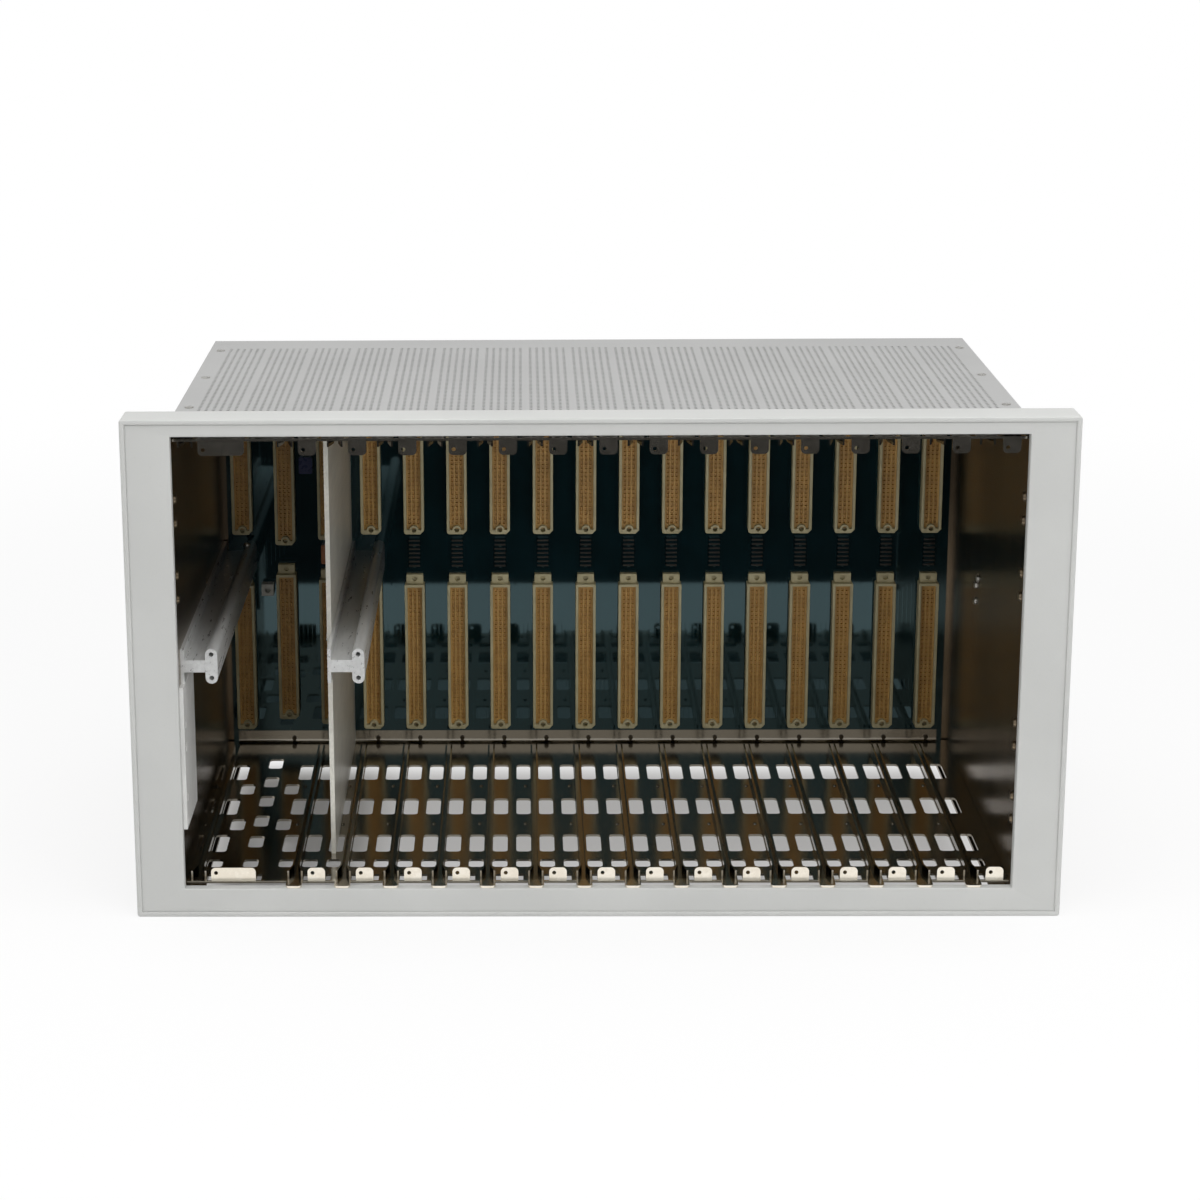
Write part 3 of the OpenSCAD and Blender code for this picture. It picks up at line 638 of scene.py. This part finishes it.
def connector_shell(length):
    """The shell: lines carried from its back over a rounded front rim and down into the
    hollow, with a screw hole let into the rim at its lower end."""
    edge = 0.25
    outer, hollow = shell_lines(length, 0)
    outer_in, _ = shell_lines(length, -edge)
    _, hollow_out = shell_lines(length, edge)
    outer_mid, hollow_mid = shell_lines(length, -edge * 0.3)[0], shell_lines(length, edge * 0.3)[1]
    rings = [at_depth(outer, shell_depth), at_depth(outer, edge),
             at_depth(outer_mid, edge * 0.3), at_depth(outer_in, 0),
             at_depth(hollow_out, 0), at_depth(hollow_mid, edge * 0.3),
             at_depth(hollow, edge), at_depth(hollow, shell_recess + 2.2)]
    count = len(outer)
    rim = 3
    faces = [face for row, face in zip(np.repeat(np.arange(7), count), grid_faces(8, count, False, True))
             if row != rim]
    points = np.concatenate(rings)
    hole = len(points)
    upper = corner_arc((0, hole_in), hole_radius + 0.15, 180, 0, arc_count)
    lower = corner_arc((0, hole_in), hole_radius + 0.15, 180, 360, arc_count)
    mouth = np.concatenate([upper, lower[-2:0:-1]])
    bore = (mouth - (0, hole_in)) * hole_radius / (hole_radius + 0.15) + (0, hole_in)
    points = np.concatenate([points, at_depth(mouth, 0), at_depth(bore, 0.15), at_depth(bore, 5)])
    loop = len(mouth)
    faces += (np.array(grid_faces(3, loop, False, True)) + hole).tolist()
    faces.append(list(range(hole + 2 * loop, hole + 3 * loop)))
    top = [hole + k for k in range(arc_count)]
    base = [hole] + [hole + loop - k for k in range(1, arc_count - 1)] + [hole + arc_count - 1]
    first, second = rim * count, (rim + 1) * count
    last = arc_count - 1
    for k in range(last):
        faces.append([second + k, second + k + 1, top[k + 1], top[k]])
        faces.append([base[k], base[k + 1], first + k + 1, first + k])
    for k in range(arc_count, count - 1):
        faces.append([first + k, first + k + 1, second + k + 1, second + k])
    faces.append([first + last, first + last + 1, second + last + 1, second + last, top[last]])
    faces.append([first + count - 1, first, top[0], second, second + count - 1])
    faces.append(list(range(7 * count, 8 * count)))
    faces.append(list(range(count)))
    return points, faces


def contact_block(length):
    """The block as a height field on a grid: lines cross it at the edges of each contact
    hole, and where an inner line meets an inner line the surface drops into the hole."""
    column_at = 2.54 * np.arange(-1, 2)
    row_at = length / 2 + 1.2 + 2.54 * (np.arange(32) - 15.5)
    across_steps = np.array([-0.75, -0.45, 0.45, 0.75])
    up_steps = np.array([-1.05, -0.8, 0.8, 1.05])
    x = np.concatenate([[-4.45], (column_at[:, None] + across_steps).ravel(), [4.45]])
    z = np.concatenate([[hole_in], (row_at[:, None] + up_steps).ravel(), [length - 1]])
    dip_x = np.concatenate([[0], np.tile([0, 1, 1, 0], 3), [0]])
    dip_z = np.concatenate([[0], np.tile([0, 1, 1, 0], 32), [0]])
    depth = shell_recess + 1.3 * dip_x[:, None] * dip_z[None, :]
    grid = np.stack(np.broadcast_arrays(x[:, None], depth, z[None, :]), -1)
    points = grid.reshape(-1, 3)
    return points, grid_faces(len(x), len(z))


def ear(length):
    """A plate with a hole, as rings: its outline at the back and front, then the hole's
    mouth and bore. Both lines are read off at equal angles about the hole's centre."""
    centre = np.array([0, length + ear_reach - hole_in])
    turns = 2 * math.pi * (np.arange(32) + 0.5) / 32
    way = np.stack([np.cos(turns), np.sin(turns)], -1)
    low = np.array([-ear_width / 2, length - 0.5])
    high = np.array([ear_width / 2, length + ear_reach])
    reach = np.where(way > 0, (high - centre) / way, (low - centre) / way).min(axis=1)
    outline = centre + way * reach[:, None]
    inner = centre + (outline - centre) * 0.96
    mouth = centre + way * (hole_radius + 0.15)
    bore = centre + way * hole_radius
    front_face = shell_depth - ear_depth
    rings = [at_depth(outline, shell_depth), at_depth(outline, front_face + 0.2),
             at_depth(inner, front_face), at_depth(mouth, front_face),
             at_depth(bore, front_face + 0.15), at_depth(bore, front_face + 3)]
    return rings_solid(rings)


sample_low, sample_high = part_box("upper_connector_1")
body_length = (sample_high[2] - sample_low[2]) / MM - ear_reach
template = [connector_shell(body_length), ear(body_length), contact_block(body_length)]
amber_from = len(template[0][1]) + len(template[1][1])
amber_count = len(template[2][1])
part_finish = [0] * amber_from + [1] * amber_count
template_points, template_faces = together(template)
for row in ("upper", "lower"):
    for number in range(1, 18):
        node = f"{row}_connector_{number}"
        low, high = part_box(node)
        centre = (low[0] + high[0]) / 2
        points = template_points * MM + (centre, low[1], low[2])
        make_piece(f"{row}_socket_{number}", [(points, template_faces)],
                   [shell_finish, block_finish], [node], part_finish)

# The headers at mid height are dark combs: a strip with a tooth at every contact row.
comb_finish = moulding("dark comb", (0.028, 0.022, 0.014), (0.016, 0.012, 0.008), 0.35)
comb_low, comb_high = 125.8 * MM, 143.7 * MM
teeth = []
for number in range(5, 18):
    low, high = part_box(f"upper_connector_{number}")
    centre = (low[0] + high[0]) / 2
    face = board_low[1]
    for step in range(7):
        z = comb_low + (step + 0.5) * (comb_high - comb_low) / 7
        teeth.append(rounded_box((centre - 3.3 * MM, face - 0.9 * MM, z - 0.55 * MM),
                                 (centre + 3.3 * MM, face + 0.2 * MM, z + 0.55 * MM), 0.2 * MM))
make_piece("header_teeth", teeth, [comb_finish])


# ---------------------------------------------------------------- Small parts on the board
# Beside the second and third positions: a terminal block, a flat wound part and a
# moulded blue capacitor.
terminal_finish = moulding("terminal moulding", (0.62, 0.62, 0.56), (0.54, 0.54, 0.49), 0.4)
copper_finish, place = start_finish("enamelled winding")
wire = (place.axes()[2] % 0.0006 - 0.0003) * 3000
close_finish(copper_finish, bump=1 - wire * wire, depth=0.0002,
             base_color=place.noise(200, 2).ramp(0.3, 0.7).blend((0.36, 0.13, 0.06), (0.52, 0.22, 0.11)),
             roughness=0.3, metallic=0.4)
capacitor_finish = moulding("blue moulding", (0.006, 0.02, 0.13), (0.004, 0.014, 0.09), 0.2)
dress(["terminal_block"], terminal_finish)
dress(["choke"], copper_finish)
dress(["capacitor"], capacitor_finish)


# ---------------------------------------------------------------- Top cover
# A painted aluminium sheet with six rows of small punched holes over each card. It
# is riveted to the side plates' upper flanges. The piece is flat, without the bent-down rear edge.
cover_finish = paint("cover paint", (0.40, 0.40, 0.395), 0.42)
cover_low, cover_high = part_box("top_cover")
cover_top = cover_high[2]
cover_under = cover_top - 1.5 * MM
hole_size = 1.05 * MM
row_gap = 3.8 * MM
hole_gap = 3.8 * MM
band_gap = 24.53 * MM
row_at = (band_gap * (np.arange(17)[:, None] - 8) + row_gap * (np.arange(6) - 2.5)).ravel()
hole_count = 51
hole_start = front + 31 * MM


def punched_strip(x, z_top, z_under):
    """One row of holes: cells side by side, each a rectangle with a six-sided hole, whose
    sheet runs from the cell's edge to the hole, down through it and back underneath."""
    turns = np.radians(30 + 60 * np.arange(6))
    way = np.stack([np.cos(turns), np.sin(turns)], -1)
    half = np.array([row_gap / 2, hole_gap / 2])
    corner = np.array([[1, 1], [0, 1], [-1, 1], [-1, -1], [0, -1], [1, -1]]) * half
    hole = way * hole_size
    levels = [(corner, z_top), (hole, z_top), (hole, z_under), (corner, z_under)]
    y = hole_start + hole_gap * (np.arange(hole_count) + 0.5)
    cell = np.stack([np.column_stack([line, np.full(6, z)]) for line, z in levels])
    cells = cell[None] + np.stack([np.full(hole_count, x), y, np.zeros(hole_count)], -1)[:, None, None]
    points = cells.reshape(-1, 3)
    one = np.array(grid_faces(4, 6, False, True))
    faces = (one[None] + 24 * np.arange(hole_count)[:, None, None]).reshape(-1, 4).tolist()
    return points, faces


def plain_strip(x0, x1, y0, y1, z_top, z_under):
    """An unpierced stretch of the sheet: its top and its underside."""
    corners = np.array([[x0, y0], [x1, y0], [x1, y1], [x0, y1]])
    points = np.concatenate([np.column_stack([corners, np.full(4, z)]) for z in (z_top, z_under)])
    return points, [[0, 1, 2, 3], [4, 5, 6, 7]]


strips = [punched_strip(x, cover_top, cover_under) for x in row_at]
hole_end = hole_start + hole_gap * hole_count
row_edges = np.stack([row_at - row_gap / 2, row_at + row_gap / 2], -1).ravel()
edges = np.concatenate([[cover_low[0]], row_edges, [cover_high[0]]])
for x0, x1 in zip(edges[0::2], edges[1::2]):
    if x1 - x0 > 1e-6:
        strips.append(plain_strip(x0, x1, hole_start, hole_end, cover_top, cover_under))
for y0, y1 in ((cover_low[1], hole_start), (hole_end, cover_high[1])):
    for x0, x1 in zip(edges[:-1], edges[1:]):
        if x1 - x0 > 1e-6:
            strips.append(plain_strip(x0, x1, y0, y1, cover_top, cover_under))
make_piece("punched_cover", strips, [cover_finish], ["top_cover"])


# ---------------------------------------------------------------- Fasteners
# Steel rivets hold the side plates to the bezel and the cover to the side plates.
# Screws hold the guide plates, the divider's and the wall's rails and the backplane.
steel, place = start_finish("bright fastener")
wear = place.noise(500, 3)
close_finish(steel, bump=wear, depth=0.00001, metallic=1.0, roughness=0.18 + wear * 0.2,
             base_color=wear.ramp(0.3, 0.7).blend((0.50, 0.49, 0.46), (0.72, 0.71, 0.67)))
bronze_steel = chromate("bronzed fastener", (0.30, 0.24, 0.17), (0.22, 0.17, 0.11), (1, 1, 1), 0.3)


def head(place, out, line, sides=16):
    """A turned head: a line of (radius, height) pairs swept round an axis through its
    place. The axis points out along X, Y or Z."""
    line = np.asarray(line) * MM
    turns = np.linspace(0, 2 * math.pi, sides, endpoint=False)
    axis = int(np.argmax(np.abs(out)))
    first, second = [(1, 2), (2, 0), (0, 1)][axis]
    rings = np.zeros((len(line), sides, 3))
    rings[..., first] = place[first] + line[:, :1] * np.cos(turns)
    rings[..., second] = place[second] + line[:, :1] * np.sin(turns)
    rings[..., axis] = place[axis] + out[axis] * line[:, 1:]
    return rings_solid(rings)


dress([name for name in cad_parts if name.endswith(("rivets", "screws", "screw"))], steel)
dress(["bezel_rivets"], bronze_steel)
# The backplane screws sit in the sockets' end holes. Their near-black colour is painted shade of those
# holes.
hole_shade_steel = chromate("fastener darkened as hole shade", (0.10, 0.085, 0.06), (0.05, 0.04, 0.03), (1, 1, 1), 0.4)
dress(["backplane_screws"], hole_shade_steel)

# A bright screw on the left rail's far end, and two on the right wall, whose heights
# are uncertain. One of the two may not exist.
dome_line = [(2.2, -0.4), (2.2, 0.2), (2.05, 0.75), (1.6, 1.2), (0.9, 1.5), (0.3, 1.56)]
small_screws = [head((-0.2013, front + 0.2375, 0.14205), (0, 0, 1), dome_line)]
for height in (0.1386, 0.1294):
    small_screws.append(head((side_inner, front + 0.1535, height), (-1, 0, 0), dome_line))
make_piece("small_screws", small_screws, [steel])
